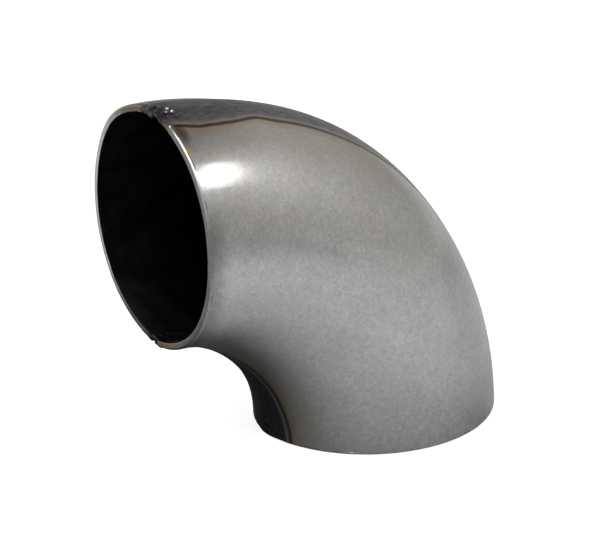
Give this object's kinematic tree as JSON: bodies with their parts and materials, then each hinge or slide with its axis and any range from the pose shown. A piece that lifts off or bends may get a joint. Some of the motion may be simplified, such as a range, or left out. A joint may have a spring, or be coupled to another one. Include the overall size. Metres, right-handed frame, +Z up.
{
  "type": "pipe elbow",
  "caption": "Ninety degree butt-weld tube elbow pressed in two half shells and joined by dressed seam welds along the back and the throat of the bend.",
  "frame": {"origin": "centre of the lower port, on its end face", "axes": "+Z up, so the lower port faces -Z; the front port faces -Y; the bend lies in the YZ plane and X runs across the two half shells"},
  "size_m": [0.0484, 0.0793, 0.0793],
  "materials": {
    "pressed_shell": "satin as-pressed stainless steel",
    "dressed_seam": "dark ground and brushed stainless steel",
    "weld_metal": "rough grey stainless weld metal"
  },
  "bodies": {
    "root": {"near_half_shell": "pressed_shell", "far_half_shell": "pressed_shell", "outer_seam_weld": "dressed_seam", "inner_seam_weld": "dressed_seam", "front_outer_tack": "weld_metal", "front_inner_tack": "weld_metal", "lower_outer_tack": "weld_metal", "lower_inner_tack": "weld_metal", "weld_spatter": "weld_metal"}
  },
  "joints": []
}
